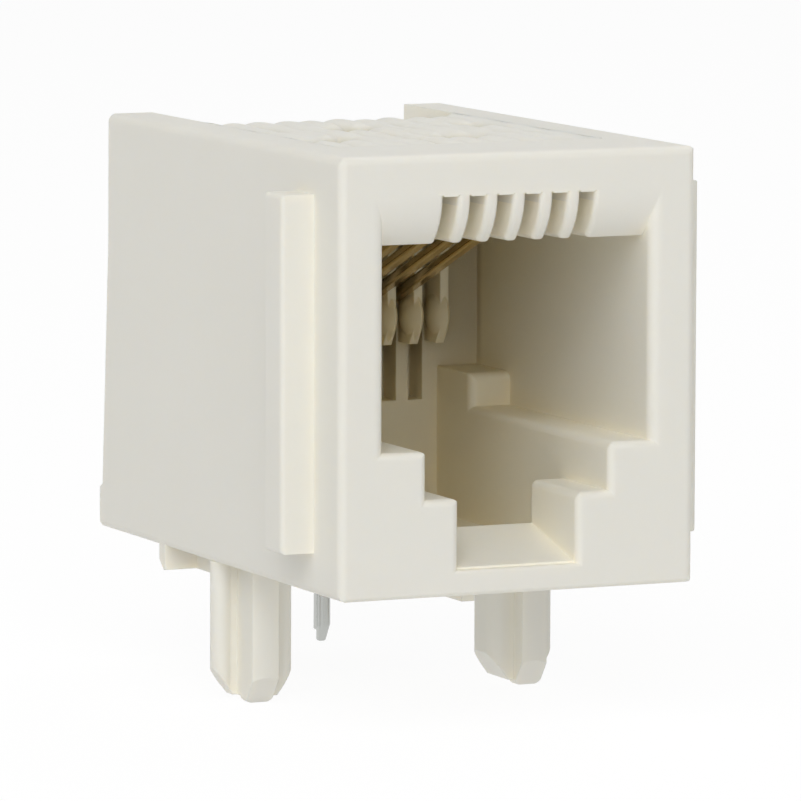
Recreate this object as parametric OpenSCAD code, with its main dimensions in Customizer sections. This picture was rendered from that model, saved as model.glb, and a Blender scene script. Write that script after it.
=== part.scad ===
// Six-position side-entry modular jack for a circuit board, loaded with four contacts.
// Millimetres. Z = 0 is the board surface under the feet. The origin lies midway between
// the two board posts. The plug goes in along +Y, so the opening faces -Y.

/* [Housing] */
// Width across the two side walls
body_w = 13.2; // [13:0.1:13.6]
// Height from the underside to the flat of the front bar
body_h = 14.93; // [14.8:0.01:15.2]
// Depth of the housing at its top edge
body_d = 20.25; // [20:0.05:20.6]
// How far the rear face leans out from its upper half down to the flange
rear_lean = 0.62; // [0.2:0.02:0.8]
// How far the rear flange stands out from the leaning face
flange_out = 0.26; // [0.1:0.02:0.4]
// Height of the rear flange
flange_h = 1.45; // [1:0.05:2]
// Radius of the long outer edges
edge_r = 0.28; // [0.1:0.02:0.4]

/* [Plug opening] */
// Width of the opening for the plug body
open_w = 9.9; // [9.8:0.02:10]
// Height of the front bar above the opening
bar_h = 3.05; // [2.95:0.02:3.15]
// Height of the plug rails above the underside
rail_z = 4.95; // [4.8:0.05:5.1]
// Width between the two plug rails
rail_gap = 6.8; // [6.6:0.05:7]
// Height of the latch blocks above the underside
latch_z = 3.3; // [3.1:0.05:3.5]
// Width between the two latch blocks
latch_gap = 4.4; // [4.2:0.05:4.6]
// Depth of the latch blocks, whose rear faces hold the plug latch
latch_d = 3.6; // [3.4:0.05:3.9]
// Thickness of the floor at its front edge
floor_t = 0.87; // [0.8:0.01:1]
// Rise of the floor ramp from front to rear
ramp_rise = 0.96; // [0.6:0.02:1.1]
// Radius of the side edges of the opening
mouth_r = 0.4; // [0.2:0.05:0.45]
// Radius of the step edges
step_r = 0.26; // [0.1:0.02:0.3]
// Drop from the top of the housing to the start of the rounded lip
lip_drop = 1.38; // [1.33:0.01:1.5]
// Radius of the rounded lip
lip_r = 2.2; // [2:0.05:2.6]
// Radius of the edges of the teeth in the lip
comb_r = 0.17; // [0.1:0.01:0.2]

/* [Inside] */
// Depth of the cavity above the rails
cavity_d = 13.95; // [13.9:0.05:14.2]
// Depth of the cavity below the rails
well_d = 13.95; // [13.8:0.05:14.1]
// Depth at which the plug stops begin
stop_d = 11.18; // [11:0.02:11.4]
// Height of the plug stops above the rails
stop_h = 1.17; // [0.8:0.01:1.3]
// Radius of the free edges of the plug stops
stop_r = 0.3; // [0.1:0.05:0.4]
// Depth of the wire channels in the rear wall
channel_d = 1.05; // [0.9:0.05:1.1]
// Thickness of one tooth of the rear comb
tooth_w = 0.32; // [0.28:0.01:0.36]
// Depth at which the rear comb begins
tooth_d = 12.6; // [12.5:0.05:12.7]
// Height of the lower ends of the rear comb
tooth_z = 7.05; // [6.9:0.05:7.2]
// Depth of the chamfer at the lower front corner of a tooth
tooth_cut_d = 0.4; // [0.2:0.05:0.6]
// Height of that chamfer
tooth_cut_h = 0.6; // [0.3:0.05:0.8]
// Radius of the knob on a tooth that guides the end of a spring beam
knob_r = 0.93; // [0.85:0.01:0.95]
// Thickness of that knob
knob_t = 0.7; // [0.6:0.01:0.72]
// Depth of the centre of the knob
knob_d = 13.2; // [13.1:0.05:13.3]
// Height of the centre of the knob
knob_z = 8.06; // [8.02:0.01:8.15]

/* [Top] */
// Width of one side wall at the top recess
wall_top = 1.65; // [1.5:0.05:1.8]
// Depth of the top recess
recess_h = 0.63; // [0.5:0.01:0.65]
// Depth of the flat front bar
bar_d = 4; // [3.9:0.05:4.1]
// Half length of one staked lump
lump_a = 1.9; // [1.6:0.05:1.95]
// Radius of one staked lump
lump_b = 0.5; // [0.46:0.01:0.5]
// Distance of the middle of the first row of lumps behind the front bar
lump_first = 2.4; // [2.3:0.05:2.5]
// Distance between the rows of lumps
lump_gap = 4.1; // [4.1:0.05:4.2]

/* [Side ribs] */
// How far a side rib stands out
rib_out = 1.19; // [0.8:0.01:1.4]
// Depth of a side rib
rib_t = 1.5; // [1:0.05:1.7]
// Set-back of a side rib from the front face
rib_d = 2.15; // [2:0.05:2.4]
// Height of the lower end of a side rib
rib_z0 = 1.42; // [1.2:0.02:1.6]
// Height of the upper end of a side rib
rib_z1 = 13.55; // [13.3:0.05:13.7]
// Radius of the free edges of a side rib
rib_r = 0.16; // [0.05:0.01:0.25]

/* [Underside] */
// Spacing of the two board posts
post_gap = 10.16; // [10.1:0.02:10.2]
// Distance of the posts behind the front face
post_d = 11; // [10.9:0.05:11.1]
// Radius of the circle that a post fits into
post_r = 1.58; // [1.56:0.01:1.62]
// Length of a post below the board surface
post_l = 4.06; // [4:0.02:4.2]
// Width of the slanted nose of a post
nose_w = 0.7; // [0.6:0.02:0.8]
// Height of the slanted nose of a post
nose_h = 0.95; // [0.8:0.05:1.1]
// How much further down the front lug of a post reaches
nose_step = 0.2; // [0.1:0.02:0.3]
// Distance of the rear face of that lug before the middle of the post
lug_back = 0.45; // [0.3:0.05:0.6]
// Height of the feet, which is the gap between housing and board
foot_h = 0.82; // [0.7:0.02:0.9]
// Width of a foot rail
foot_w = 0.9; // [0.8:0.05:1]
// Inset of a foot rail from the side of the housing
foot_inset = 1.25; // [1.1:0.05:1.4]
// Depth at which the foot pads begin
pad_d = 15.2; // [15:0.05:15.4]
// Depth of one foot pad
pad_t = 0.5; // [0.4:0.05:0.6]
// Length of the middle foot
mid_foot_l = 2.5; // [2:0.1:3]
// Thickness of the middle foot
mid_foot_w = 0.48; // [0.4:0.02:0.6]

/* [Relief pockets] */
// Wall left beside and above the pockets in the underside
relief_wall = 1.3; // [1.2:0.05:1.5]
// Width of a side pocket
relief_w = 1.6; // [1.4:0.05:1.65]
// Wall left between the cavity and a side pocket
relief_front = 2.05; // [1.9:0.05:2.2]
// Wall left behind a side pocket
relief_rear = 0.9; // [0.8:0.05:1.1]
// Width of the middle pocket
relief_mid_w = 6.4; // [6:0.1:6.4]
// Wall left before and behind the middle pocket
relief_gap = 0.5; // [0.45:0.01:0.55]

/* [Contacts] */
// Pitch of the six contact positions
pitch = 1.016; // [1.01:0.002:1.02]
// Width of a contact
wire_w = 0.46; // [0.44:0.01:0.48]
// Thickness of a contact
wire_t = 0.36; // [0.32:0.01:0.38]
// Clearance of a contact above its seat
seat_gap = 0.02; // [0.01:0.01:0.03]
// Clearance of a contact at each side
side_gap = 0.04; // [0.03:0.01:0.05]
// Distance of the front row of tails behind the posts
row_a = 6.35; // [6.3:0.05:6.4]
// Distance of the rear row of tails behind the posts
row_b = 8.89; // [8.84:0.05:8.94]
// Length of the tails below the board surface
tail_l = 3.2; // [3:0.05:3.4]
// Width of the slanted cut at the tip of a tail
tip_cut_w = 0.2; // [0.1:0.02:0.3]
// Height of that cut
tip_cut_h = 0.6; // [0.3:0.05:0.8]
// Drop from the top of the housing to the middle of the contacts
wire_drop = 1.18; // [1.15:0.01:1.23]
// Slope of the spring beams in degrees
beam_slope = 21.8; // [21:0.1:22.4]
// Depth of the centre of the front bend
bend_d = 4.8; // [4.75:0.01:4.85]
// Radius of the front bend at the middle of the contact
bend_r = 0.76; // [0.74:0.01:0.78]
// Radius of the rear bend at the middle of the contact
heel_r = 0.5; // [0.4:0.05:0.6]
// Depth at which the spring beams end
beam_end = 13.8; // [13.6:0.05:13.9]

/* [Hidden] */
$fn = 64;
eps = 0.01;
half_w = body_w / 2;
half_open = open_w / 2;
half_rail = rail_gap / 2;
half_latch = latch_gap / 2;
lip_z = body_h - bar_h;
lip_top_z = body_h - lip_drop;
lip_reach = lip_r - sqrt(pow(lip_r, 2) - pow(lip_top_z - lip_z, 2));
wire_z = body_h - wire_drop;
recess_z = body_h - recess_h;
half_recess = half_w - wall_top;
flange_d = body_d + rear_lean + flange_out;
slot_w = wire_w + 2 * side_gap;
groove_z = wire_z - wire_t / 2 - seat_gap;
nose_z = wire_z - bend_r;
core_r = bend_r - wire_t / 2 - seat_gap;
stop_z = rail_z + stop_h;
row_a_d = post_d + row_a;
row_b_d = post_d + row_b;
positions = [for (i = [0:5]) (i - 2.5) * pitch];
teeth = [for (i = [0:6]) (i - 3) * pitch];
ivory = [0.87, 0.86, 0.80];
gold = [0.78, 0.62, 0.30];

// Moves a shape drawn from the front lower edge of the housing into the frame of the part
module placed() {
    translate([0, -post_d, foot_h]) children();
}

// Box from one corner to the other
module box(lo, hi) {
    translate(lo) cube([hi[0] - lo[0], hi[1] - lo[1], hi[2] - lo[2]]);
}

// Box that lies evenly about the middle plane
module mid_box(half, d0, d1, z0, z1) {
    box([-half, d0, z0], [half, d1, z1]);
}

// Rectangle with rounded corners, about its middle
module round_rect(w, h, r) {
    square([w - 2 * r, h], center = true);
    square([w, h - 2 * r], center = true);
    for (x = [-1, 1], y = [-1, 1]) {
        translate([x * (w / 2 - r), y * (h / 2 - r)]) circle(r);
    }
}

// Side profile laid into the depth and height plane and drawn out over a width
module across(x0, x1) {
    translate([x0, 0, 0]) rotate([90, 0, 90]) linear_extrude(x1 - x0) children();
}

// Cutter that rounds an edge: the corner is at the origin, solid towards +x and +y
module corner_2d(r) {
    difference() {
        translate([-eps, -eps]) square(r + eps);
        translate([r, r]) circle(r);
    }
}

// Front outline with rounded edges
module front_outline() {
    rotate([90, 0, 0]) mirror([0, 0, 1]) linear_extrude(flange_d + 1) {
        translate([0, body_h / 2]) round_rect(body_w, body_h, edge_r);
    }
}

// Side outline with the leaning rear face and its flange
module side_outline() {
    flange_cut = 0.15;
    bulge_d = body_d + 0.06;
    bulge_z = 0.68 * body_h;
    across(-half_w - 1, half_w + 1) {
        polygon([
            [0, 0],
            [flange_d, 0],
            [flange_d, flange_h],
            [flange_d - flange_out, flange_h + flange_cut],
            [bulge_d, bulge_z],
            [body_d, body_h],
            [0, body_h]
        ]);
    }
}

// Outer block of the housing
module block() {
    difference() {
        intersection() {
            front_outline();
            side_outline();
        }
        front_edges();
    }
}

// Rounding of the edges about the front face
module front_edges() {
    for (s = [0, 1]) {
        mirror([s, 0, 0]) translate([-half_w, 0, -1]) linear_extrude(body_h + 2) corner_2d(edge_r);
    }
    across(-half_w - 1, half_w + 1) {
        translate([0, body_h]) mirror([0, 1]) corner_2d(edge_r);
        corner_2d(edge_r / 2);
    }
}

// Outline of the stepped opening, in width and height
module mouth_2d() {
    translate([-half_open, rail_z]) square([open_w, lip_z - rail_z]);
    translate([-half_rail, latch_z]) square([rail_gap, rail_z - latch_z + eps]);
    translate([-half_latch, floor_t]) square([latch_gap, latch_z - floor_t + eps]);
    for (s = [0, 1]) {
        mirror([s, 0]) {
            translate([half_rail, rail_z]) mirror([0, 1]) corner_2d(step_r);
            translate([half_latch, latch_z]) mirror([0, 1]) corner_2d(step_r);
        }
    }
}

// Flare of one step of the opening: rounded side edges that meet the rounded lower edge in a mitre
module step_flare(half, side_r, low_z, low_r, high_z, top_z, reach) {
    intersection() {
        translate([0, 0, low_z - low_r]) linear_extrude(top_z - low_z + low_r) {
            translate([-half, -eps]) square([2 * half, reach + eps]);
            for (s = [0, 1]) {
                mirror([s, 0]) translate([half, 0]) corner_2d(side_r);
            }
        }
        across(-half - side_r, half + side_r) {
            translate([-eps, low_z]) square([reach + eps, high_z - low_z + eps]);
            translate([0, low_z]) mirror([0, 1]) corner_2d(low_r);
            children();
        }
    }
}

// Flares of the three steps, the upper one with the deeper curve of the lip
module mouth_flares() {
    step_flare(half_latch, step_r, floor_t, step_r / 2, latch_z, latch_z, step_r);
    step_flare(half_rail, step_r, latch_z, step_r, rail_z, rail_z, step_r);
    step_flare(half_open, mouth_r, rail_z, step_r, lip_z, lip_top_z, lip_reach) {
        difference() {
            translate([-eps, lip_z]) square([lip_reach + eps, lip_top_z - lip_z]);
            translate([lip_r, lip_top_z]) circle(lip_r);
        }
    }
}

// Floor ramp under the plug latch
module ramp() {
    across(-half_latch - eps, half_latch + eps) {
        polygon([
            [-eps, 0],
            [-eps, floor_t],
            [latch_d, floor_t + ramp_rise],
            [latch_d, 0]
        ]);
    }
}

// Knob in the form of a lens, about its own middle, with its axis across the jack
module knob() {
    ball_r = (pow(knob_r, 2) + pow(knob_t / 2, 2)) / knob_t;
    rotate([0, 90, 0]) rotate_extrude() {
        intersection() {
            translate([0, ball_r - knob_t / 2]) circle(ball_r, $fn = 128);
            translate([0, knob_t / 2 - ball_r]) circle(ball_r, $fn = 128);
            translate([0, -knob_t]) square([2 * knob_r, 2 * knob_t]);
        }
    }
}

// Teeth with knobs that hold the ends of the spring beams apart
module rear_comb() {
    for (x = teeth) {
        across(x - tooth_w / 2, x + tooth_w / 2) {
            polygon([
                [tooth_d, lip_z + eps],
                [tooth_d, tooth_z + tooth_cut_h],
                [tooth_d + tooth_cut_d, tooth_z],
                [cavity_d + eps, tooth_z],
                [cavity_d + eps, lip_z + eps]
            ]);
        }
        translate([x, knob_d, knob_z]) knob();
    }
}

// Blocks at the rear ends of the rails that stop the plug
module plug_stops() {
    for (s = [0, 1]) {
        mirror([s, 0, 0]) intersection() {
            translate([0, 0, rail_z - 1]) linear_extrude(stop_h + 1) {
                translate([half_rail, stop_d]) difference() {
                    square([half_open - half_rail + eps, cavity_d - stop_d + eps]);
                    corner_2d(stop_r);
                }
            }
            across(0, half_w) {
                difference() {
                    translate([stop_d, 0]) square([cavity_d - stop_d + eps, stop_z]);
                    translate([stop_d, stop_z]) mirror([0, 1]) corner_2d(stop_r);
                }
            }
        }
    }
}

// Space inside the housing
module cavity() {
    difference() {
        union() {
            translate([0, -eps, 0]) rotate([90, 0, 0]) mirror([0, 0, 1]) {
                linear_extrude(well_d + eps) mouth_2d();
            }
            mid_box(half_open, -eps, cavity_d, rail_z, lip_z);
            mid_box(half_rail, latch_d, well_d, floor_t, rail_z + eps);
            for (x = positions) {
                translate([x, 0, 0]) {
                    mid_box(slot_w / 2, cavity_d - eps, cavity_d + channel_d, rail_z, nose_z - core_r);
                }
            }
        }
        ramp();
        rear_comb();
        plug_stops();
    }
}

// Slots of the front comb, the pockets of the front bends and the channels above the beams
module comb_slots() {
    roof_z = lip_top_z - 0.05;
    for (x = positions) {
        translate([x, 0, 0]) {
            difference() {
                union() {
                    mid_box(slot_w / 2, -eps, bend_d, lip_z - eps, roof_z);
                    mid_box(slot_w / 2, bar_d, bend_d, lip_z, body_h);
                }
                across(-slot_w, slot_w) translate([bend_d, nose_z]) circle(core_r);
            }
            mid_box(slot_w / 2, bend_d - eps, cavity_d + channel_d, lip_z - eps, nose_z - core_r);
            slot_edges();
        }
    }
}

// Rounding of the two edges of one slot, round the lip and on along the ceiling
module slot_edges() {
    for (s = [0, 1]) {
        mirror([s, 0, 0]) translate([slot_w / 2, 0, 0]) {
            intersection() {
                translate([0, lip_r, lip_top_z]) rotate([0, 90, 0]) rotate_extrude() {
                    translate([lip_r, 0]) mirror([1, 0]) corner_2d(comb_r);
                }
                mid_box(1, -eps, lip_reach, lip_z - eps, lip_top_z);
            }
            translate([0, lip_reach - eps, lip_z]) rotate([90, 0, 0]) mirror([0, 0, 1]) {
                linear_extrude(tooth_d - 2 * comb_r - lip_reach) corner_2d(comb_r);
            }
        }
    }
}

// Recess on top of the housing, open to the rear, with one groove for each position
module top_recess() {
    mid_box(half_recess, bar_d, flange_d + 1, recess_z, body_h + 1);
    for (i = [0:5]) {
        row = i % 2 == 1 ? row_a_d : row_b_d;
        end = i % 2 == 1 ? row + wire_t / 2 + side_gap : flange_d + 1;
        translate([positions[i], 0, 0]) {
            mid_box(slot_w / 2, bend_d - eps, end, groove_z, body_h);
            mid_box(slot_w / 2, row - heel_r - side_gap, end, wire_z - heel_r, groove_z + eps);
            mid_box(slot_w / 2, row - wire_t / 2 - side_gap, end, -1, groove_z);
        }
    }
}

// Pockets in the underside beside and in front of the contact block
module under_pockets() {
    side_x = half_w - relief_wall;
    for (s = [0, 1]) {
        mirror([s, 0, 0]) {
            box(
                [side_x - relief_w, cavity_d + relief_front, -1],
                [side_x, body_d - relief_rear, recess_z - relief_wall]
            );
        }
    }
    mid_box(
        relief_mid_w / 2,
        cavity_d + channel_d + relief_gap,
        row_a_d - wire_t / 2 - side_gap - relief_gap,
        -1,
        groove_z - relief_wall
    );
}

// Side rib, a locating rail for a panel, with rounded free edges
module side_rib() {
    root = 0.5;
    intersection() {
        translate([half_w - root, rib_d + rib_t / 2, rib_z0]) linear_extrude(rib_z1 - rib_z0) {
            round_rect(2 * (root + rib_out), rib_t, rib_r);
        }
        rotate([90, 0, 0]) linear_extrude(4 * (rib_d + rib_t), center = true) {
            translate([half_w, (rib_z0 + rib_z1) / 2]) round_rect(2 * rib_out, rib_z1 - rib_z0, rib_r);
        }
    }
}

// Strip from x0 to x1 whose lower end, on the axis, has rounded corners
module round_end(x0, x1, h, r) {
    translate([x0, r]) square([x1 - x0, h - r]);
    translate([x0 + r, 0]) square([x1 - x0 - 2 * r, h]);
    translate([x0 + r, r]) circle(r);
    translate([x1 - r, r]) circle(r);
}

// Strip from x0 to x1 whose lower end, on the axis, is slanted at both sides
module slant_end(x0, x1, h) {
    polygon([
        [x0, h],
        [x0, nose_h],
        [x0 + nose_w, 0],
        [x1 - nose_w, 0],
        [x1, nose_h],
        [x1, h]
    ]);
}

// Front view of a post part laid upright, from its tip up
module upright(tip) {
    translate([0, 0, tip]) rotate([90, 0, 0]) linear_extrude(4 * post_r, center = true) children();
}

// Web of a board post: a beaded end on the outer side and a thick rounded half on the inner side
module post_web() {
    bead_r = 0.37;
    bead_x = 1.075;
    bead_d = 0.14;
    web = 0.28;
    half_in = 1.34;
    half_t = 0.85;
    half_r = 0.5;
    tip = nose_step - post_l;
    long = foot_h - tip + eps;
    intersection() {
        translate([0, 0, tip]) linear_extrude(long) {
            translate([0, bead_d - web]) square([bead_x, 2 * web]);
            translate([bead_x, bead_d]) circle(bead_r);
            intersection() {
                round_rect(2 * half_in, 2 * half_t, half_r);
                translate([-2 * half_in, -2 * half_t]) square([2 * half_in, 4 * half_t]);
            }
        }
        upright(tip) slant_end(-half_in, bead_x + bead_r, long);
    }
}

// Cross rib of a board post, with a lug at the front of its lower end
module post_rib() {
    inner_x = -0.41;
    outer_x = 0.57;
    corner_r = 0.22;
    long = foot_h + post_l + eps;
    intersection() {
        across(inner_x, outer_x) {
            translate([0, -post_l]) difference() {
                slant_end(-post_r, post_r, long);
                translate([-lug_back, -eps]) square([2 * post_r, nose_step + eps]);
            }
        }
        upright(-post_l) round_end(inner_x, outer_x, long, corner_r);
        translate([0, 0, -post_l]) cylinder(long, post_r, post_r);
    }
}

// Two posts that enter the board, mirrored about the middle plane
module posts() {
    for (s = [0, 1]) {
        mirror([s, 0, 0]) translate([post_gap / 2, post_d, -foot_h]) {
            post_web();
            post_rib();
        }
    }
}

// Feet that carry the housing on the board
module feet() {
    rail_x = half_w - foot_inset;
    rail_d = post_d + 1;
    root = 0.5;
    toe = [0.1, 0.35];
    for (s = [0, 1]) {
        mirror([s, 0, 0]) {
            box([rail_x - foot_w, rail_d, -foot_h], [rail_x, pad_d + pad_t, root]);
            across(rail_x - eps, half_w - side_gap) {
                polygon([
                    [pad_d, root],
                    [pad_d, -foot_h],
                    [pad_d + toe[0], -foot_h],
                    [pad_d + pad_t, toe[1] - foot_h],
                    [pad_d + pad_t, root]
                ]);
            }
        }
    }
    mid_box(mid_foot_w / 2, bar_d, bar_d + mid_foot_l, -foot_h, root);
}

// One lump of staked plastic, thick in the middle and blunt at both ends
module lump(a, b) {
    arc = (pow(a, 2) + pow(b, 2)) / (2 * b);
    end = 0.93 * a;
    rotate([-90, 0, 0]) rotate_extrude() {
        intersection() {
            translate([b - arc, 0]) circle(arc, $fn = 128);
            translate([0, -end]) square([b, 2 * end]);
        }
    }
}

// Ridges beside and between the contacts, pressed down hot over them in three rows
module staking() {
    seat = wire_z + wire_t / 2 + side_gap;
    rise = sqrt(pow(lump_b, 2) - pow((pitch - wire_w) / 2, 2));
    for (i = [-4:4], j = [0:2]) {
        along = bar_d + lump_first + j * lump_gap + 0.15 * sin(137 * i + 95 * j);
        long = lump_a * (1 + 0.06 * cos(71 * i + 160 * j));
        translate([i * pitch, along, seat + rise - 0.35 * side_gap * j]) lump(long, lump_b);
    }
}

// Moulded housing
module housing() {
    color(ivory) placed() {
        difference() {
            union() {
                block();
                side_rib();
                mirror([1, 0, 0]) side_rib();
                posts();
                feet();
            }
            cavity();
            mouth_flares();
            comb_slots();
            top_recess();
            under_pockets();
        }
        staking();
    }
}

// Quarter or longer part of a bent strip, between two angles
module bend_2d(r, a0, a1) {
    far = 4 * r;
    mid = (a0 + a1) / 2;
    intersection() {
        difference() {
            circle(r + wire_t / 2);
            circle(r - wire_t / 2);
        }
        polygon([
            [0, 0],
            far * [cos(a0), sin(a0)],
            far * [cos((a0 + mid) / 2), sin((a0 + mid) / 2)],
            far * [cos(mid), sin(mid)],
            far * [cos((a1 + mid) / 2), sin((a1 + mid) / 2)],
            far * [cos(a1), sin(a1)]
        ]);
    }
}

// Side view of one contact: tail, riser, heel, top run, front bend and spring beam
module contact_2d(row) {
    half_t = wire_t / 2;
    tip = -foot_h - tail_l;
    translate([row - half_t, tip]) square([wire_t, wire_z - heel_r - tip + eps]);
    translate([row - heel_r, wire_z - heel_r]) bend_2d(heel_r, -1, 91);
    translate([bend_d, wire_z - half_t]) square([row - heel_r - bend_d, wire_t]);
    translate([bend_d, nose_z]) {
        bend_2d(bend_r, 89, 270 - beam_slope + 1);
        rotate(-beam_slope) translate([-eps, -bend_r - half_t]) {
            square([(beam_end - bend_d) / cos(beam_slope), wire_t]);
        }
    }
}

// Contact of one of the six positions
module contact(position) {
    x = positions[position - 1];
    row = position % 2 == 0 ? row_a_d : row_b_d;
    color(gold) placed() difference() {
        across(x - wire_w / 2, x + wire_w / 2) contact_2d(row);
        translate([x, row, -foot_h - tail_l]) rotate([90, 0, 0]) linear_extrude(1, center = true) {
            polygon([
                [wire_w / 2 - tip_cut_w, -eps],
                [wire_w / 2 + eps, tip_cut_h],
                [wire_w / 2 + eps, -eps]
            ]);
        }
    }
}

module contact_2() {
    contact(2);
}

module contact_3() {
    contact(3);
}

module contact_4() {
    contact(4);
}

module contact_5() {
    contact(5);
}

housing();
contact_2();
contact_3();
contact_4();
contact_5();
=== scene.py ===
"""Looks for a side-entry modular jack: ivory moulding, staked ridges, plated contacts and a pale studio."""

import math

import bpy
import numpy as np
from bpy.props import FloatProperty, FloatVectorProperty, PointerProperty
from mathutils import Matrix, Vector


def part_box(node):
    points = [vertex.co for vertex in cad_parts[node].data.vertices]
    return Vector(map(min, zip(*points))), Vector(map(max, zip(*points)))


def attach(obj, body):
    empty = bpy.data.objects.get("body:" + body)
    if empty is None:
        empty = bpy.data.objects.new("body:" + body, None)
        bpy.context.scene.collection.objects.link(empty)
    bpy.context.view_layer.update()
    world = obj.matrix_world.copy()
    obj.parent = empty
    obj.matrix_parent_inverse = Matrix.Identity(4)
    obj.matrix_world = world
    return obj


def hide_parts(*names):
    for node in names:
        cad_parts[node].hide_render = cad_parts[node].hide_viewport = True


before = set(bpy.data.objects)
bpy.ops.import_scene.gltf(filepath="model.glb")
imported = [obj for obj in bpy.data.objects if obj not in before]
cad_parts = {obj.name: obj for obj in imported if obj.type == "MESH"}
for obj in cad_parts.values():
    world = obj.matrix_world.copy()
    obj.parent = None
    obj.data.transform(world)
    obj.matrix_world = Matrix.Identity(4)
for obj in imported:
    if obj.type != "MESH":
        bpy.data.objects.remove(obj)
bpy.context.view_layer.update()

bl_info = {
    "name": "Modular Jack Looks",
    "version": (1, 0, 0),
    "blender": (4, 5, 0),
    "location": "View3D > Sidebar > Jack",
    "description": "Finishes, staked ridges and studio for a side-entry modular jack",
    "category": "Object",
}

MM = 0.001
BODY = "root"
HOUSING = "housing"
CONTACTS = ("contact_2", "contact_3", "contact_4", "contact_5")


def node_centre(node):
    """Middle of a node's box."""
    low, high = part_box(node)
    return (low + high) / 2


HOUSING_LOW, HOUSING_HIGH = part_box(HOUSING)
PITCH = node_centre("contact_4").x - node_centre("contact_3").x

# Directions in the jack's frame
REARWARD = (0, 1, 0)
UPWARD = (0, 0, 1)

# Space for the plug: half of its width, its middle height, half of its height, and its rear wall
PLUG_HALF_WIDTH = 5.1 * MM
PLUG_MIDDLE = 7.8 * MM
PLUG_HALF_HEIGHT = 6.2 * MM
PLUG_REAR = HOUSING_LOW.y + 13.9 * MM

# Power of the smooth maximum that joins the melted ridges, and power that makes their fronts blunt
RIDGE_JOIN = 8
RIDGE_FRONT = 8

# Grid of the melted plastic, and its least height over its underside
RIDGE_COLUMNS = 126
RIDGE_ROWS = 166
RIDGE_SKIN = 0.03 * MM

# Fillet along the side walls: its width, how far before the rear edge it ends, and the length of its fade
FILLET_WIDTH = 0.6 * MM
FILLET_END = 0.3 * MM
FILLET_FADE = 0.9 * MM

# Shares of the melted plastic's thickness, from the top down, where the furrows' painted shade starts and is
# full
FURROW_SHADE_START = 0.07
FURROW_SHADE_FULL = 0.55

# Shares of free sight around a place where it starts to count as closed in and where it fully does, for the
# painted light and shade there
OPEN_SHARE = 0.75
CLOSED_SHARE = 0.12

# How much the moulding's roughness varies, and how much smoother the pressed plastic is
ROUGHNESS_SPREAD = 0.16
PRESSED_GLOSS = 0.08

# Ends of a contact: the length over which they are drawn in, and the share of the section that is left
END_LENGTH = 0.04 * MM
END_SHARE = 0.8

# Share of a section's flat sides between the points beside its rounded corners
FLAT_SHARE = 0.8

# Floor: half of its side, its gap under the posts, and the light that falls on it far from the jack
FLOOR_HALF = 2.0
FLOOR_GAP = 0.02 * MM
FLOOR_LIT = 0.8

# Width of the camera's sensor in millimetres
SENSOR_WIDTH = 36


class HousingLook(bpy.types.PropertyGroup):
    """Finish of the ivory moulding, with the colours of its painted light and shade."""

    tone: FloatVectorProperty(
        name="Tone", description="Main colour of the moulding", subtype="COLOR",
        size=3, min=0, max=1, default=(0.86, 0.845, 0.775),
    )
    shade: FloatVectorProperty(
        name="Shade", description="Colour that the main one drifts to", subtype="COLOR",
        size=3, min=0, max=1, default=(0.825, 0.805, 0.72),
    )
    # Painted light: a brighter colour on the closed-in places near the front of the plug's space
    mouth_painted_light: FloatVectorProperty(
        name="Mouth", description="Colour of the closed-in places near the front", subtype="COLOR",
        size=3, min=0, max=1, default=(0.99, 0.94, 0.79),
    )
    # Painted shade: a warmer, darker colour on the closed-in places towards the rear of the plug's space
    depth: FloatVectorProperty(
        name="Depth", description="Warmer colour of the closed-in places at the rear", subtype="COLOR",
        size=3, min=0, max=1, default=(0.86, 0.76, 0.51),
    )
    # Painted shadow high on the rear wall of the plug's space, with the heights where it starts and where it
    # is full
    roof_painted_shadow: FloatVectorProperty(
        name="Roof", description="Colour high on the rear wall of the plug's space", subtype="COLOR",
        size=3, min=0, max=1, default=(0.48, 0.40, 0.225),
    )
    roof_shadow_low: FloatProperty(
        name="Roof Low", description="Height above the board where the rear wall starts to darken",
        unit="LENGTH", default=5.6 * MM,
    )
    roof_shadow_high: FloatProperty(
        name="Roof High", description="Height above the board where it is darkest", unit="LENGTH",
        default=8.6 * MM,
    )
    # Reach of the occlusion that places the painted light and shade in the plug's space
    reach: FloatProperty(
        name="Reach", description="Distance over which a place counts as closed in", unit="LENGTH",
        min=0, default=9 * MM,
    )
    # Painted shade: a darker colour in the furrows between the pressed ridges
    furrow: FloatVectorProperty(
        name="Furrow", description="Colour of the furrows between the pressed ridges", subtype="COLOR",
        size=3, min=0, max=1, default=(0.57, 0.54, 0.43),
    )
    roughness: FloatProperty(
        name="Roughness", description="Roughness of the satin surface", subtype="FACTOR",
        min=0, max=1, default=0.46,
    )
    glow: FloatProperty(
        name="Glow", description="Share of light that passes under the surface", subtype="FACTOR",
        min=0, max=1, default=0.5,
    )
    edge: FloatProperty(
        name="Edge", description="Radius of the small moulded edges", unit="LENGTH",
        min=0, default=0.06 * MM,
    )


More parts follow.
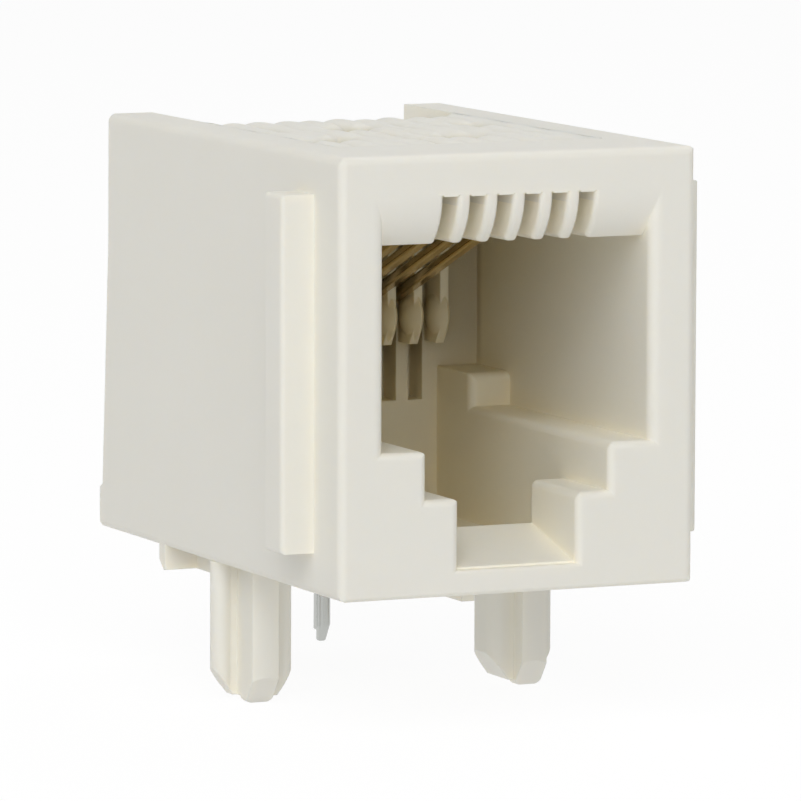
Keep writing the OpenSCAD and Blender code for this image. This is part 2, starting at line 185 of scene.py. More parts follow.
class RidgeShape(bpy.types.PropertyGroup):
    """Form of the ridges on top, pressed down hot until they run together over the contacts."""

    half_length: FloatProperty(
        name="Half Length", description="Half of the length of one ridge", unit="LENGTH",
        min=0, default=1.95 * MM,
    )
    half_width: FloatProperty(
        name="Half Width", description="Half of the width of one ridge", unit="LENGTH",
        min=0, default=0.62 * MM,
    )
    first: FloatProperty(
        name="First Row", description="Middle of the first row behind the front face", unit="LENGTH",
        default=6.4 * MM,
    )
    spacing: FloatProperty(
        name="Spacing", description="From one row to the next", unit="LENGTH", default=4.1 * MM,
    )
    front: FloatProperty(
        name="Front", description="Front edge of the melted plastic behind the front face", unit="LENGTH",
        default=3.97 * MM,
    )
    rear: FloatProperty(
        name="Rear", description="Rear edge of the melted plastic behind the front face", unit="LENGTH",
        default=17.2 * MM,
    )
    side: FloatProperty(
        name="Side", description="Side edges of the melted plastic, from the middle", unit="LENGTH",
        default=4.97 * MM,
    )
    crest: FloatProperty(
        name="Crest", description="Height of the ridges above the underside of the melted plastic",
        unit="LENGTH", min=0, default=0.7 * MM,
    )
    under: FloatProperty(
        name="Under", description="Underside of the melted plastic below the top of the housing",
        unit="LENGTH", default=0.73 * MM,
    )


class ContactLook(bpy.types.PropertyGroup):
    """Finish of the formed contacts."""

    gold: FloatVectorProperty(
        name="Gold", description="Colour of the plated spring", subtype="COLOR",
        size=3, min=0, max=1, default=(0.74, 0.57, 0.28),
    )
    tin: FloatVectorProperty(
        name="Tin", description="Colour of the tinned tail", subtype="COLOR",
        size=3, min=0, max=1, default=(0.50, 0.51, 0.49),
    )
    tin_height: FloatProperty(
        name="Tin Height", description="Height above the board where the tin ends", unit="LENGTH",
        default=1.6 * MM,
    )
    tin_blend: FloatProperty(
        name="Tin Blend", description="Half of the height over which the tin turns to gold", unit="LENGTH",
        min=0, default=0.4 * MM,
    )
    thickness: FloatProperty(
        name="Thickness", description="Thickness of the strip", unit="LENGTH", min=0, default=0.36 * MM,
    )
    edge: FloatProperty(
        name="Edge", description="Radius of the long edges of the strip", unit="LENGTH",
        min=0, default=0.11 * MM,
    )
    bend: FloatProperty(
        name="Bend", description="Radius of the front bend at the middle of the strip", unit="LENGTH",
        min=0, default=0.76 * MM,
    )
    heel: FloatProperty(
        name="Heel", description="Radius of the rear bend at the middle of the strip", unit="LENGTH",
        min=0, default=0.5 * MM,
    )
    slope: FloatProperty(
        name="Slope", description="Fall of the spring beam towards the rear", subtype="ANGLE",
        default=math.radians(21.8),
    )
    beam: FloatProperty(
        name="Beam", description="Length of the spring beam", unit="LENGTH",
        min=0, default=9.69 * MM,
    )
    cut_width: FloatProperty(
        name="Cut Width", description="Width of the slanted cut at the tip of the tail", unit="LENGTH",
        min=0, default=0.2 * MM,
    )
    cut_height: FloatProperty(
        name="Cut Height", description="Height of that cut", unit="LENGTH", min=0, default=0.6 * MM,
    )


class Studio(bpy.types.PropertyGroup):
    """Camera, lamps and floor."""

    azimuth: FloatProperty(
        name="Azimuth", description="Turn of the view to the left of the front", subtype="ANGLE",
        default=math.radians(24.53),
    )
    elevation: FloatProperty(
        name="Elevation", description="Height of the view above the horizon", subtype="ANGLE",
        default=math.radians(6.674),
    )
    roll: FloatProperty(
        name="Roll", description="Turn of the camera about its own line of sight", subtype="ANGLE",
        default=math.radians(0.182),
    )
    distance: FloatProperty(
        name="Distance", description="From the camera to the point that it looks at", unit="LENGTH",
        default=263.34 * MM,
    )
    aim: FloatVectorProperty(
        name="Aim", description="Point that the camera looks at", subtype="TRANSLATION", unit="LENGTH",
        size=3, default=(-0.676 * MM, -2.860 * MM, 6.507 * MM),
    )
    lens: FloatProperty(
        name="Lens", description="Focal length in millimetres on a sensor 36 mm wide", min=1,
        default=341.96,
    )
    sky: FloatProperty(
        name="Sky", description="Strength of the light from all around", min=0, default=0.45,
    )
    key: FloatProperty(
        name="Key", description="Power of the high lamp over the view", unit="POWER", min=0, default=0.46,
    )
    side: FloatProperty(
        name="Side", description="Power of the lamp at the left", unit="POWER", min=0, default=0.235,
    )
    front: FloatProperty(
        name="Front", description="Power of the low lamp in front", unit="POWER", min=0, default=0.47,
    )
    top: FloatProperty(
        name="Top", description="Power of the lamp at the right rear", unit="POWER", min=0, default=0.26,
    )
    lamp_size: FloatProperty(
        name="Lamp Size", description="Side of each square lamp", unit="LENGTH", min=0, default=0.26,
    )
    lamp_distance: FloatProperty(
        name="Lamp Distance", description="From each lamp to the middle of the jack", unit="LENGTH",
        min=0, default=0.45,
    )
    floor_light: FloatProperty(
        name="Floor Light", description="Strength of the floor's own light on the jack", min=0, default=0.64,
    )
    floor_tone: FloatProperty(
        name="Floor Tone", description="Share of the floor's brightness that takes shadow",
        subtype="FACTOR", min=0, max=1, default=0.1,
    )


def add_node(tree, kind, **values):
    """New node in a tree; the values set its properties, or its inputs where the name is an input."""
    node = tree.nodes.new(kind)
    for name, value in values.items():
        label = name.replace("_", " ").title()
        if hasattr(node, name):
            setattr(node, name, value)
        elif label in node.inputs:
            node.inputs[label].default_value = value
        else:
            raise ValueError(f"{kind} has no {name}")
    return node


def new_material(name):
    """Empty node material with its output and a Principled shader."""
    material = bpy.data.materials.new(name)
    material.use_nodes = True
    tree = material.node_tree
    tree.nodes.clear()
    output = tree.nodes.new("ShaderNodeOutputMaterial")
    shader = tree.nodes.new("ShaderNodeBsdfPrincipled")
    tree.links.new(shader.outputs["BSDF"], output.inputs["Surface"])
    return material, tree, shader


def moulding_group():
    """Colour drift, roughness and fine relief of moulded plastic, from three scales of noise."""
    group = bpy.data.node_groups.new("Moulded surface", "ShaderNodeTree")
    face = group.interface
    for name, value in (("Tone", (1, 1, 1, 1)), ("Shade", (0.9, 0.9, 0.9, 1))):
        socket = face.new_socket(name, in_out="INPUT", socket_type="NodeSocketColor")
        socket.default_value = value
    for name, value in (("Roughness", 0.5), ("Drift", 0.5)):
        socket = face.new_socket(name, in_out="INPUT", socket_type="NodeSocketFloat")
        socket.default_value = value
    face.new_socket("Color", in_out="OUTPUT", socket_type="NodeSocketColor")
    face.new_socket("Roughness", in_out="OUTPUT", socket_type="NodeSocketFloat")
    face.new_socket("Height", in_out="OUTPUT", socket_type="NodeSocketFloat")
    enter = group.nodes.new("NodeGroupInput")
    leave = group.nodes.new("NodeGroupOutput")
    place = group.nodes.new("ShaderNodeTexCoord")
    broad = add_node(group, "ShaderNodeTexNoise", scale=140.0, detail=2.0, roughness=0.5)
    fine = add_node(group, "ShaderNodeTexNoise", scale=2600.0, detail=3.0, roughness=0.6)
    grain = add_node(group, "ShaderNodeTexNoise", scale=9000.0, detail=2.0, roughness=0.5)
    for noise in (broad, fine, grain):
        group.links.new(place.outputs["Object"], noise.inputs["Vector"])
    amount = add_node(group, "ShaderNodeMath", operation="MULTIPLY")
    group.links.new(broad.outputs["Fac"], amount.inputs[0])
    group.links.new(enter.outputs["Drift"], amount.inputs[1])
    colour = add_node(group, "ShaderNodeMix", data_type="RGBA")
    group.links.new(amount.outputs["Value"], colour.inputs["Factor"])
    group.links.new(enter.outputs["Tone"], colour.inputs["A"])
    group.links.new(enter.outputs["Shade"], colour.inputs["B"])
    spread = add_node(group, "ShaderNodeMath", operation="MULTIPLY_ADD")
    spread.inputs[1].default_value = ROUGHNESS_SPREAD
    group.links.new(fine.outputs["Fac"], spread.inputs[0])
    group.links.new(enter.outputs["Roughness"], spread.inputs[2])
    relief = add_node(group, "ShaderNodeMath", operation="MULTIPLY_ADD")
    relief.inputs[1].default_value = 0.5
    group.links.new(grain.outputs["Fac"], relief.inputs[0])
    group.links.new(fine.outputs["Fac"], relief.inputs[2])
    group.links.new(colour.outputs["Result"], leave.inputs["Color"])
    group.links.new(spread.outputs["Value"], leave.inputs["Roughness"])
    group.links.new(relief.outputs["Value"], leave.inputs["Height"])
    return group


def plug_space(tree):
    """One inside the width and height of the plug's space, else zero."""
    place = tree.nodes.new("ShaderNodeTexCoord")
    axes = tree.nodes.new("ShaderNodeSeparateXYZ")
    tree.links.new(place.outputs["Object"], axes.inputs["Vector"])
    both = add_node(tree, "ShaderNodeMath", operation="MULTIPLY")
    spans = (("X", 0.0, PLUG_HALF_WIDTH), ("Z", PLUG_MIDDLE, PLUG_HALF_HEIGHT))
    for index, (axis, middle, half) in enumerate(spans):
        within = add_node(tree, "ShaderNodeMath", operation="COMPARE")
        within.inputs[1].default_value = middle
        within.inputs[2].default_value = half
        tree.links.new(axes.outputs[axis], within.inputs[0])
        tree.links.new(within.outputs["Value"], both.inputs[index])
    return both


def painted_shading_mask(tree, look):
    """One where the walls of the plug's space close in on a place, zero in the open; it places the painted
    light and shade there.
    """
    closed = add_node(tree, "ShaderNodeAmbientOcclusion", samples=3, only_local=True, distance=look.reach)
    hidden = add_node(tree, "ShaderNodeMapRange")
    hidden.inputs["From Min"].default_value = OPEN_SHARE
    hidden.inputs["From Max"].default_value = CLOSED_SHARE
    tree.links.new(closed.outputs["AO"], hidden.inputs["Value"])
    inner = add_node(tree, "ShaderNodeMath", operation="MULTIPLY")
    tree.links.new(hidden.outputs["Result"], inner.inputs[0])
    tree.links.new(plug_space(tree).outputs["Value"], inner.inputs[1])
    return inner.outputs["Value"]


def step_group():
    """Soft step along a direction of the object: zero up to the start, one from the end on."""
    group = bpy.data.node_groups.new("Soft step", "ShaderNodeTree")
    face = group.interface
    face.new_socket("Direction", in_out="INPUT", socket_type="NodeSocketVector")
    face.new_socket("Start", in_out="INPUT", socket_type="NodeSocketFloat")
    face.new_socket("End", in_out="INPUT", socket_type="NodeSocketFloat")
    face.new_socket("Mask", in_out="OUTPUT", socket_type="NodeSocketFloat")
    enter = group.nodes.new("NodeGroupInput")
    leave = group.nodes.new("NodeGroupOutput")
    place = group.nodes.new("ShaderNodeTexCoord")
    along = add_node(group, "ShaderNodeVectorMath", operation="DOT_PRODUCT")
    step = add_node(group, "ShaderNodeMapRange", interpolation_type="SMOOTHSTEP")
    group.links.new(place.outputs["Object"], along.inputs[0])
    group.links.new(enter.outputs["Direction"], along.inputs[1])
    group.links.new(along.outputs["Value"], step.inputs["Value"])
    group.links.new(enter.outputs["Start"], step.inputs["From Min"])
    group.links.new(enter.outputs["End"], step.inputs["From Max"])
    group.links.new(step.outputs["Result"], leave.inputs["Mask"])
    return group


def axis_mask(tree, direction, start, end):
    """Mask of a soft step that is placed in a material with its own direction, start and end."""
    group = bpy.data.node_groups.get("Soft step") or step_group()
    step = add_node(tree, "ShaderNodeGroup", node_tree=group)
    step.inputs["Direction"].default_value = direction
    step.inputs["Start"].default_value = start
    step.inputs["End"].default_value = end
    return step.outputs["Mask"]


def ivory_material(name, look, roughness, relief):
    """Ivory plastic with a slow drift of tone, a satin surface and a fine mould grain.

    Gives the material and the mix that paints shading over its colour by a mask.
    """
    material, tree, shader = new_material(name)
    group = bpy.data.node_groups.get("Moulded surface") or moulding_group()
    surface = add_node(tree, "ShaderNodeGroup", node_tree=group)
    surface.inputs["Tone"].default_value = (*look.tone, 1)
    surface.inputs["Shade"].default_value = (*look.shade, 1)
    surface.inputs["Roughness"].default_value = roughness - ROUGHNESS_SPREAD / 2
    surface.inputs["Drift"].default_value = 0.6
    # Mix that paints light and shade over the moulding's colour where a mask says
    painted_shading = add_node(tree, "ShaderNodeMix", data_type="RGBA")
    tree.links.new(surface.outputs["Color"], painted_shading.inputs["A"])
    soft = add_node(tree, "ShaderNodeBevel", samples=3, radius=look.edge)
    bump = add_node(tree, "ShaderNodeBump", strength=relief, distance=0.004 * MM)
    tree.links.new(soft.outputs["Normal"], bump.inputs["Normal"])
    tree.links.new(surface.outputs["Height"], bump.inputs["Height"])
    tree.links.new(painted_shading.outputs["Result"], shader.inputs["Base Color"])
    tree.links.new(surface.outputs["Roughness"], shader.inputs["Roughness"])
    tree.links.new(bump.outputs["Normal"], shader.inputs["Normal"])
    shader.subsurface_method = "BURLEY"
    shader.inputs["Subsurface Weight"].default_value = look.glow
    shader.inputs["Subsurface Radius"].default_value = (1.0, 0.72, 0.38)
    shader.inputs["Subsurface Scale"].default_value = 0.5 * MM
    shader.inputs["Specular IOR Level"].default_value = 0.4
    return material, painted_shading


def housing_material(look):
    """Ivory plastic with painted light and shade in the plug's space: painted light near its front, warm
    painted shade towards its rear, and a painted shadow high on its rear wall.
    """
    material, painted_shading = ivory_material("Ivory moulding", look, look.roughness, 0.25)
    tree = material.node_tree
    # Painted light near the front of the plug's space turns to warm painted shade towards its rear
    inner_light_and_shade = add_node(tree, "ShaderNodeMix", data_type="RGBA")
    inner_light_and_shade.inputs["A"].default_value = (*look.mouth_painted_light, 1)
    inner_light_and_shade.inputs["B"].default_value = (*look.depth, 1)
    inward = axis_mask(tree, REARWARD, HOUSING_LOW.y, PLUG_REAR - 0.9 * MM)
    tree.links.new(inward, inner_light_and_shade.inputs["Factor"])
    # Painted shadow high on the rear wall, where the top of the housing shades it
    upper = add_node(tree, "ShaderNodeMath", operation="MULTIPLY")
    tree.links.new(axis_mask(tree, REARWARD, PLUG_REAR - 0.5 * MM, PLUG_REAR), upper.inputs[0])
    tree.links.new(axis_mask(tree, UPWARD, look.roof_shadow_low, look.roof_shadow_high), upper.inputs[1])
    shadow = add_node(tree, "ShaderNodeMix", data_type="RGBA")
    shadow.inputs["B"].default_value = (*look.roof_painted_shadow, 1)
    tree.links.new(upper.outputs["Value"], shadow.inputs["Factor"])
    tree.links.new(inner_light_and_shade.outputs["Result"], shadow.inputs["A"])
    tree.links.new(shadow.outputs["Result"], painted_shading.inputs["B"])
    # The painted light and shade go only where the plug's space closes in
    tree.links.new(painted_shading_mask(tree, look), painted_shading.inputs["Factor"])
    return material


def pressed_material(look, top, under):
    """Smoother ivory plastic with painted shade in the furrows between the ridges."""
    material, painted_shading = ivory_material("Pressed ivory", look, look.roughness - PRESSED_GLOSS, 0.4)
    painted_shading.inputs["B"].default_value = (*look.furrow, 1)
    tree = material.node_tree
    thick = top - under
    # Painted shade deepens from the crest down into the furrows
    mask = axis_mask(tree, UPWARD, top - FURROW_SHADE_START * thick, top - FURROW_SHADE_FULL * thick)
    tree.links.new(mask, painted_shading.inputs["Factor"])
    return material


def contact_material(look):
    """Plated strip: gold on the spring, tin on the tail, drawn lines along its length."""
    material, tree, shader = new_material("Plated contact")
    place = tree.nodes.new("ShaderNodeTexCoord")
    axes = tree.nodes.new("ShaderNodeSeparateXYZ")
    tree.links.new(place.outputs["Object"], axes.inputs["Vector"])
    border = add_node(tree, "ShaderNodeMapRange")
    border.inputs["From Min"].default_value = look.tin_height - look.tin_blend
    border.inputs["From Max"].default_value = look.tin_height + look.tin_blend
    tree.links.new(axes.outputs["Z"], border.inputs["Value"])
    colour = add_node(tree, "ShaderNodeMix", data_type="RGBA")
    colour.inputs["A"].default_value = (*look.tin, 1)
    colour.inputs["B"].default_value = (*look.gold, 1)
    tree.links.new(border.outputs["Result"], colour.inputs["Factor"])
    lines = add_node(tree, "ShaderNodeTexNoise", scale=1.0, detail=3.0)
    stretch = add_node(tree, "ShaderNodeMapping")
    stretch.inputs["Scale"].default_value = (24000, 500, 500)
    tree.links.new(place.outputs["Object"], stretch.inputs["Vector"])
    tree.links.new(stretch.outputs["Vector"], lines.inputs["Vector"])
    gloss = add_node(tree, "ShaderNodeMapRange")
    gloss.inputs["To Min"].default_value = 0.14
    gloss.inputs["To Max"].default_value = 0.3
    tree.links.new(lines.outputs["Fac"], gloss.inputs["Value"])
    bump = add_node(tree, "ShaderNodeBump", strength=0.15, distance=0.002 * MM)
    tree.links.new(lines.outputs["Fac"], bump.inputs["Height"])
    tree.links.new(colour.outputs["Result"], shader.inputs["Base Color"])
    tree.links.new(gloss.outputs["Result"], shader.inputs["Roughness"])
    tree.links.new(bump.outputs["Normal"], shader.inputs["Normal"])
    shader.inputs["Metallic"].default_value = 1.0
    return material


def dress(piece, material):
    """Puts one material on every face of a piece."""
    piece.data.materials.clear()
    piece.data.materials.append(material)


def add_piece(name, mesh):
    """New object at the origin that rides on the jack."""
    piece = bpy.data.objects.new(name, mesh)
    bpy.context.scene.collection.objects.link(piece)
    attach(piece, BODY)
    return piece


def tube_mesh(name, rings):
    """Closed mesh from rings of points: quads between neighbouring rings, one face over each end.

    The rings are an array of rows along the tube, columns around it and three axes.
    """
    rows, columns, _ = rings.shape
    low, column = np.meshgrid(np.arange(rows - 1) * columns, np.arange(columns), indexing="ij")
    beside = (column + 1) % columns
    quads = np.stack([low + column, low + beside, low + columns + beside, low + columns + column], axis=-1)
    first = np.arange(columns)
    ends = np.stack([first[::-1], first + (rows - 1) * columns])
    mesh = bpy.data.meshes.new(name)
    mesh.from_pydata(rings.reshape(-1, 3), [], quads.reshape(-1, 4).tolist() + ends.tolist())
    mesh.shade_smooth()
    return mesh


def strip_section(width, thickness, radius):
    """Rectangle with rounded corners, counter-clockwise: five points round each and one beside it."""
    turn = np.radians(np.linspace(0, 90, 5))
    arc = radius * np.stack([np.cos(turn), np.sin(turn)], axis=-1)
    centre = np.array([width / 2 - radius, thickness / 2 - radius])
    beside = centre * FLAT_SHARE
    quarter = np.concatenate([[[centre[0] + radius, beside[1]]], centre + arc,
                              [[beside[0], centre[1] + radius]]])
    upper = np.concatenate([quarter, quarter[::-1] * (-1, 1)])
    return np.concatenate([upper, -upper])


def contact_path(look, tail, top, rear, front):
    """Middle line of a contact in depth and height, from the tip of the tail to the end of the beam.

    Straight up the tail and riser, a quarter circle back to front at the heel, level along the top,
    a half circle less the slope at the front bend, and straight down the beam.
    """
    heel_turn = np.radians(np.linspace(0, 90, 13))
    bend_turn = np.linspace(math.radians(90), math.radians(270) - look.slope, 31)
    rise = np.array([0, END_LENGTH, look.cut_height, 2 * look.cut_height])
    riser = np.stack([np.full(rise.size, rear), tail + rise], axis=-1)
    heel = np.stack([rear - look.heel + look.heel * np.cos(heel_turn),
                     top - look.heel + look.heel * np.sin(heel_turn)], axis=-1)
    bend = np.stack([front + look.bend * np.cos(bend_turn),
                     top - look.bend + look.bend * np.sin(bend_turn)], axis=-1)
    along = np.array([math.cos(look.slope), -math.sin(look.slope)])
    beam = bend[-1] + along * np.array([[0.5 * look.beam], [look.beam - END_LENGTH], [look.beam]])
    return np.concatenate([riser, heel, bend, beam])


def contact_rings(look, node):
    """Rounded section carried along the middle line, its ends drawn in and the tail's tip cut aslant."""
    low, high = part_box(node)
    half = look.thickness / 2
    path = contact_path(look, low.z, high.z - half, high.y - half, low.y + half + look.bend)
    width = high.x - low.x
    section = strip_section(width, look.thickness, look.edge)
    ahead = np.gradient(path, axis=0)
    ahead /= np.linalg.norm(ahead, axis=1, keepdims=True)
    side = np.stack([-ahead[:, 1], ahead[:, 0]], axis=-1)
    draw_in = np.ones(len(path))
    draw_in[[0, -1]] = END_SHARE
    across = section[None, :, 0] * draw_in[:, None]
    cut = look.cut_width * np.clip(1 - (path[:, 1] - low.z) / look.cut_height, 0, 1)
    cut[len(path) // 2:] = 0
    across = across - cut[:, None] * (across + width / 2) / width
    out = section[None, :, 1] * draw_in[:, None]
    rings = np.empty((*across.shape, 3))
    rings[..., 0] = (low.x + high.x) / 2 + across
    rings[..., 1] = path[:, None, 0] + out * side[:, None, 0]
    rings[..., 2] = path[:, None, 1] + out * side[:, None, 1]
    return rings


def slab_mesh(name, top, under):
    """Closed slab from a grid of points: the grid, its shadow on a level below, and a wall round the rim.

    Only the grid itself is shaded smooth.
    """
    rows, columns, _ = top.shape
    low = top.copy()
    low[..., 2] = under
    index = np.arange(rows * columns).reshape(rows, columns)
    quads = np.stack([index[:-1, :-1], index[:-1, 1:], index[1:, 1:], index[1:, :-1]], axis=-1)
    quads = quads.reshape(-1, 4)
    rim = np.concatenate([index[0, :-1], index[:-1, -1], index[-1, :0:-1], index[:0:-1, 0]])
    after = np.roll(rim, -1)
    count = rows * columns
    wall = np.stack([rim, rim + count, after + count, after], axis=-1)
    faces = np.concatenate([quads, quads[:, ::-1] + count, wall])
    mesh = bpy.data.meshes.new(name)
    mesh.from_pydata(np.concatenate([top, low]).reshape(-1, 3), [], faces.tolist())
    mesh.polygons.foreach_set("use_smooth", np.arange(len(faces)) < len(quads))
    return mesh


def ridge_lumps(shape):
    """Lumps of the melted plastic, one to a row of an array.

    Each has its place across and along, front and rear half length, half width and height, all varied by
    sine waves of its column and row. The main ones stand between the contacts in three rows. Low ones
    fill the furrows over the contacts. Others bridge the gaps from row to row, by a sine wave across the
    jack that leaves some gaps open.
    """
    column, row = (item.ravel() for item in np.meshgrid(np.arange(-4, 5), np.arange(3), indexing="ij"))
    phase = np.radians(137.0 * column + 95.0 * row)
    along = shape.first + shape.spacing * row
    main = np.stack([
        column * PITCH + 0.05 * MM * np.sin(2.7 * phase),
        along + 0.15 * MM * np.sin(phase),
        shape.half_length * (0.97 + 0.03 * np.cos(1.7 * phase)),
        shape.half_length * (1.06 + 0.05 * np.sin(2.3 * phase)),
        shape.half_width * (1.03 + 0.08 * np.sin(2.9 * phase)),
        shape.crest * (0.99 + 0.03 * np.cos(3.7 * phase)),
    ], axis=-1)
    low = np.stack([
        (column + 0.5 * np.sign(column + 0.5)) * PITCH,
        along + 0.3 * MM * np.sin(1.9 * phase + 0.7),
        shape.half_length * (1.08 + 0.08 * np.cos(phase)),
        shape.half_length * (1.08 + 0.08 * np.sin(phase)),
        shape.half_width * (0.95 + 0.1 * np.cos(3.1 * phase)),
        shape.crest * (0.76 + 0.1 * np.sin(2.1 * phase)),
    ], axis=-1)
    open_gap = np.clip(2 * np.sin(0.4 * np.pi * (column + 2 * row) - 0.3) + 0.5, 0, 1)
    bridge = np.stack([
        column * PITCH + 0.1 * MM * np.sin(phase),
        along + shape.spacing / 2 + 0.2 * MM * np.cos(2.2 * phase),
        np.full(column.size, 1.5 * MM),
        np.full(column.size, 1.5 * MM),
        shape.half_width * (1.15 + 0.1 * np.sin(1.6 * phase)),
        shape.crest * (0.93 + 0.04 * np.sin(1.3 * phase)) * (1 - 0.8 * open_gap),
    ], axis=-1)
    return np.concatenate([main, low, bridge[row < 2]])


def ridge_sheet(shape):
    """Melted plastic over the recess: a smooth maximum of the lumps and of a fillet along each side wall.

    A lump's form is its height times the square root of one, less the square of the way across in half
    widths, less a power of the way along in half lengths. Behind the middle that is a square too, and
    before it a higher power, which makes the front blunt. The smooth maximum is a root of a sum of powers.
    """
    across = np.linspace(-shape.side, shape.side, RIDGE_COLUMNS)[None, :]
    along = np.linspace(shape.front, shape.rear, RIDGE_ROWS)[:, None]
    column, row, ahead, behind, width, height = ridge_lumps(shape).T[:, :, None, None]
    step = along - row
    reach = np.where(step < 0, np.abs(step / ahead) ** RIDGE_FRONT, (step / behind) ** 2)
    lumps = height * np.sqrt(np.clip(1 - ((across - column) / width) ** 2 - reach, 0, None))
    wave = 1.0 + 0.03 * np.sin(1.9 * along / MM + np.sign(across))
    fillet = shape.crest * wave * np.exp(-((shape.side - np.abs(across)) / FILLET_WIDTH) ** 2)
    fillet = fillet * np.clip((shape.rear - FILLET_END - along) / FILLET_FADE, 0, 1)
    total = np.sum(lumps ** RIDGE_JOIN, axis=0) + fillet ** RIDGE_JOIN
    top = np.empty((along.size, across.size, 3))
    top[..., 0] = across
    top[..., 1] = HOUSING_LOW.y + along
    top[..., 2] = HOUSING_HIGH.z - shape.under + RIDGE_SKIN + np.power(total, 1 / RIDGE_JOIN)
    return top


def sight_mask(tree):
    """One for rays that come from the camera, a reflection or a clear body, else zero."""
    path = tree.nodes.new("ShaderNodeLightPath")
    first = add_node(tree, "ShaderNodeMath", operation="MAXIMUM")
    both = add_node(tree, "ShaderNodeMath", operation="MAXIMUM")
    tree.links.new(path.outputs["Is Camera Ray"], first.inputs[0])
    tree.links.new(path.outputs["Is Glossy Ray"], first.inputs[1])
    tree.links.new(first.outputs["Value"], both.inputs[0])
    tree.links.new(path.outputs["Is Transmission Ray"], both.inputs[1])
    return both


def build_floor(studio):
    """White floor under the posts: part of its brightness takes the shadow, the rest is its own."""
    half = FLOOR_HALF
    height = HOUSING_LOW.z - FLOOR_GAP
    mesh = bpy.data.meshes.new("floor")
    corners = [(-half, -half, height), (half, -half, height), (half, half, height), (-half, half, height)]
    mesh.from_pydata(corners, [], [(0, 1, 2, 3)])
    floor = bpy.data.objects.new("floor", mesh)
    bpy.context.scene.collection.objects.link(floor)
    material = bpy.data.materials.new("Pale floor")
    material.use_nodes = True
    tree = material.node_tree
    tree.nodes.clear()
    output = tree.nodes.new("ShaderNodeOutputMaterial")
    matt = tree.nodes.new("ShaderNodeBsdfDiffuse")
    matt.inputs["Color"].default_value = (studio.floor_tone,) * 3 + (1,)
    glow = tree.nodes.new("ShaderNodeEmission")
    level = add_node(tree, "ShaderNodeMapRange")
    level.inputs["To Min"].default_value = studio.floor_light
    level.inputs["To Max"].default_value = 1 - studio.floor_tone * FLOOR_LIT
    tree.links.new(sight_mask(tree).outputs["Value"], level.inputs["Value"])
    tree.links.new(level.outputs["Result"], glow.inputs["Strength"])
    both = tree.nodes.new("ShaderNodeAddShader")
    tree.links.new(matt.outputs["BSDF"], both.inputs[0])
    tree.links.new(glow.outputs["Emission"], both.inputs[1])
    tree.links.new(both.outputs["Shader"], output.inputs["Surface"])
    dress(floor, material)


def build_world(studio):
    """White surroundings: full white where they are seen, softer where they only give light."""
    world = bpy.data.worlds.new("Pale room")
    world.use_nodes = True
    tree = world.node_tree
    tree.nodes.clear()
    output = tree.nodes.new("ShaderNodeOutputWorld")
    back = tree.nodes.new("ShaderNodeBackground")
    level = add_node(tree, "ShaderNodeMapRange")
    level.inputs["To Min"].default_value = studio.sky
    level.inputs["To Max"].default_value = 1.0
    tree.links.new(sight_mask(tree).outputs["Value"], level.inputs["Value"])
    tree.links.new(level.outputs["Result"], back.inputs["Strength"])
    tree.links.new(back.outputs["Background"], output.inputs["Surface"])
    bpy.context.scene.world = world


def add_lamp(studio, name, turn, rise, power):
    """Large square lamp on a ball about the jack, turned left from the front and raised above the floor."""
    middle = (HOUSING_LOW + HOUSING_HIGH) / 2
    away = Vector((-math.sin(turn) * math.cos(rise), -math.cos(turn) * math.cos(rise), math.sin(rise)))
    light = bpy.data.lights.new(name, "AREA")
    light.size = studio.lamp_size
    light.energy = power
    lamp = bpy.data.objects.new(name, light)
    lamp.location = middle + away * studio.lamp_distance
    lamp.rotation_euler = away.to_track_quat("Z", "Y").to_euler()
    bpy.context.scene.collection.objects.link(lamp)


def build_lamps(studio):
    """Soft lamps round the view: high, left, in front and at the right rear, by turn and rise in degrees."""
    lamps = (
        ("key_lamp", 25, 48, studio.key),
        ("side_lamp", 75, 45, studio.side),
        ("front_lamp", 30, 26, studio.front),
        ("top_lamp", -120, 52, studio.top),
    )
    for name, turn, rise, power in lamps:
        add_lamp(studio, name, math.radians(turn), math.radians(rise), power)


def build_camera(studio):
    """Camera on a ball about its aim: turned left by the azimuth, raised by the elevation, then rolled."""
    turn, rise = studio.azimuth, studio.elevation
    ahead = Vector((math.sin(turn) * math.cos(rise), math.cos(turn) * math.cos(rise), -math.sin(rise)))
    right = Vector((math.cos(turn), -math.sin(turn), 0))
    up = right.cross(ahead)
    lean = Matrix.Rotation(-studio.roll, 3, ahead)
    right, up = lean @ right, lean @ up
    data = bpy.data.cameras.new("camera")
    data.lens = studio.lens
    data.sensor_width = SENSOR_WIDTH
    data.clip_start = 0.01
    data.clip_end = 10
    camera = bpy.data.objects.new("camera", data)
    camera.matrix_world = Matrix.Translation(Vector(studio.aim) - ahead * studio.distance) @ Matrix(
        (right, up, -ahead)).transposed().to_4x4()
    bpy.context.scene.collection.objects.link(camera)
    bpy.context.scene.camera = camera


class JACK_OT_housing(bpy.types.Operator):
    """Gives the moulding its ivory finish"""

    bl_idname = "jack.housing"
    bl_label = "Finish Housing"

    def execute(self, context):
        dress(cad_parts[HOUSING], housing_material(context.scene.jack_housing))
        return {"FINISHED"}


class JACK_OT_ridges(bpy.types.Operator):
    """Builds the ridges that are pressed down hot over the contacts"""

    bl_idname = "jack.ridges"
    bl_label = "Build Staked Ridges"

    def execute(self, context):
        shape = context.scene.jack_ridge
        under = HOUSING_HIGH.z - shape.under
        piece = add_piece("staked_ridges", slab_mesh("staked_ridges", ridge_sheet(shape), under))
        dress(piece, pressed_material(context.scene.jack_housing, HOUSING_HIGH.z, under))
        return {"FINISHED"}


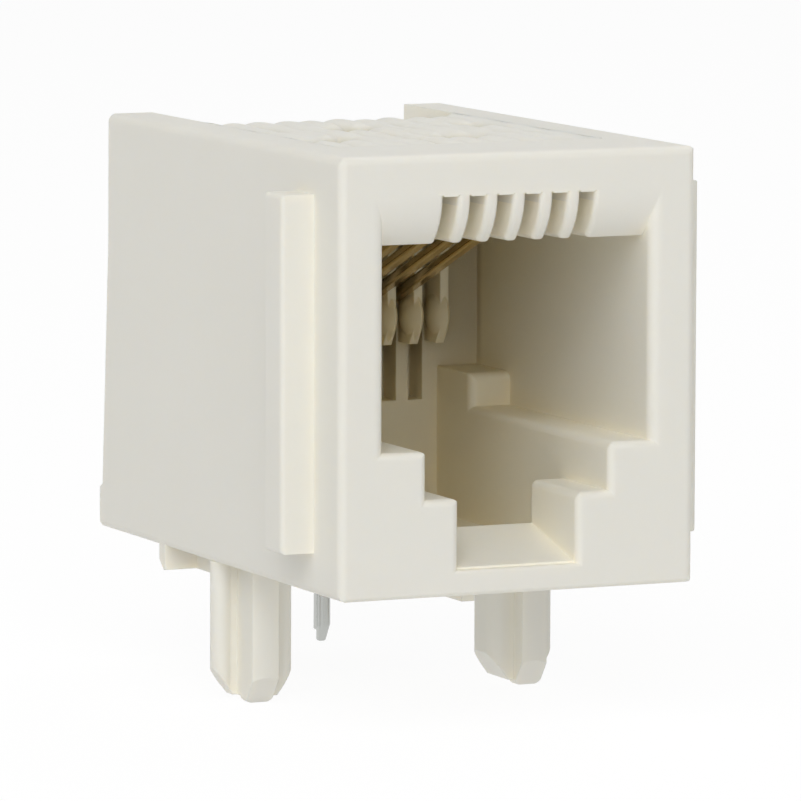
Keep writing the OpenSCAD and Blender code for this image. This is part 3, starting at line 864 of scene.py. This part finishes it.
class JACK_OT_contacts(bpy.types.Operator):
    """Builds the contacts with rounded edges and gives them their plated finish"""

    bl_idname = "jack.contacts"
    bl_label = "Build Contacts"

    def execute(self, context):
        look = context.scene.jack_contact
        material = contact_material(look)
        for node in CONTACTS:
            name = f"formed_{node}"
            piece = add_piece(name, tube_mesh(name, contact_rings(look, node)))
            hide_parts(node)
            dress(piece, material)
        return {"FINISHED"}


class JACK_OT_stage(bpy.types.Operator):
    """Builds the floor, the lamps, the surroundings and the camera"""

    bl_idname = "jack.stage"
    bl_label = "Build Stage"

    def execute(self, context):
        studio = context.scene.jack_studio
        build_floor(studio)
        build_world(studio)
        build_lamps(studio)
        build_camera(studio)
        context.scene.view_settings.view_transform = "Standard"
        return {"FINISHED"}


class JACK_PT_looks(bpy.types.Panel):
    """Sizes, colours and steps of the jack's looks"""

    bl_idname = "JACK_PT_looks"
    bl_label = "Modular Jack"
    bl_space_type = "VIEW_3D"
    bl_region_type = "UI"
    bl_category = "Jack"

    def draw(self, context):
        for (group, settings), step in zip(SETTINGS.items(), STEPS):
            column = self.layout.column(align=True)
            for name in settings.__annotations__:
                column.prop(getattr(context.scene, group), name)
            column.operator(step.bl_idname)


SETTINGS = {
    "jack_housing": HousingLook,
    "jack_ridge": RidgeShape,
    "jack_contact": ContactLook,
    "jack_studio": Studio,
}
STEPS = (JACK_OT_housing, JACK_OT_ridges, JACK_OT_contacts, JACK_OT_stage)
CLASSES = (*SETTINGS.values(), *STEPS, JACK_PT_looks)


def register():
    """Adds the classes and puts the settings on the scene."""
    for item in CLASSES:
        bpy.utils.register_class(item)
    for name, item in SETTINGS.items():
        setattr(bpy.types.Scene, name, PointerProperty(type=item))


def unregister():
    """Takes the settings and the classes away again."""
    for name in SETTINGS:
        delattr(bpy.types.Scene, name)
    for item in reversed(CLASSES):
        bpy.utils.unregister_class(item)


def main():
    """Builds the looks step by step."""
    register()
    bpy.ops.jack.housing()
    bpy.ops.jack.ridges()
    bpy.ops.jack.contacts()
    bpy.ops.jack.stage()
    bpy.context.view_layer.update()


if __name__ == "__main__":
    main()
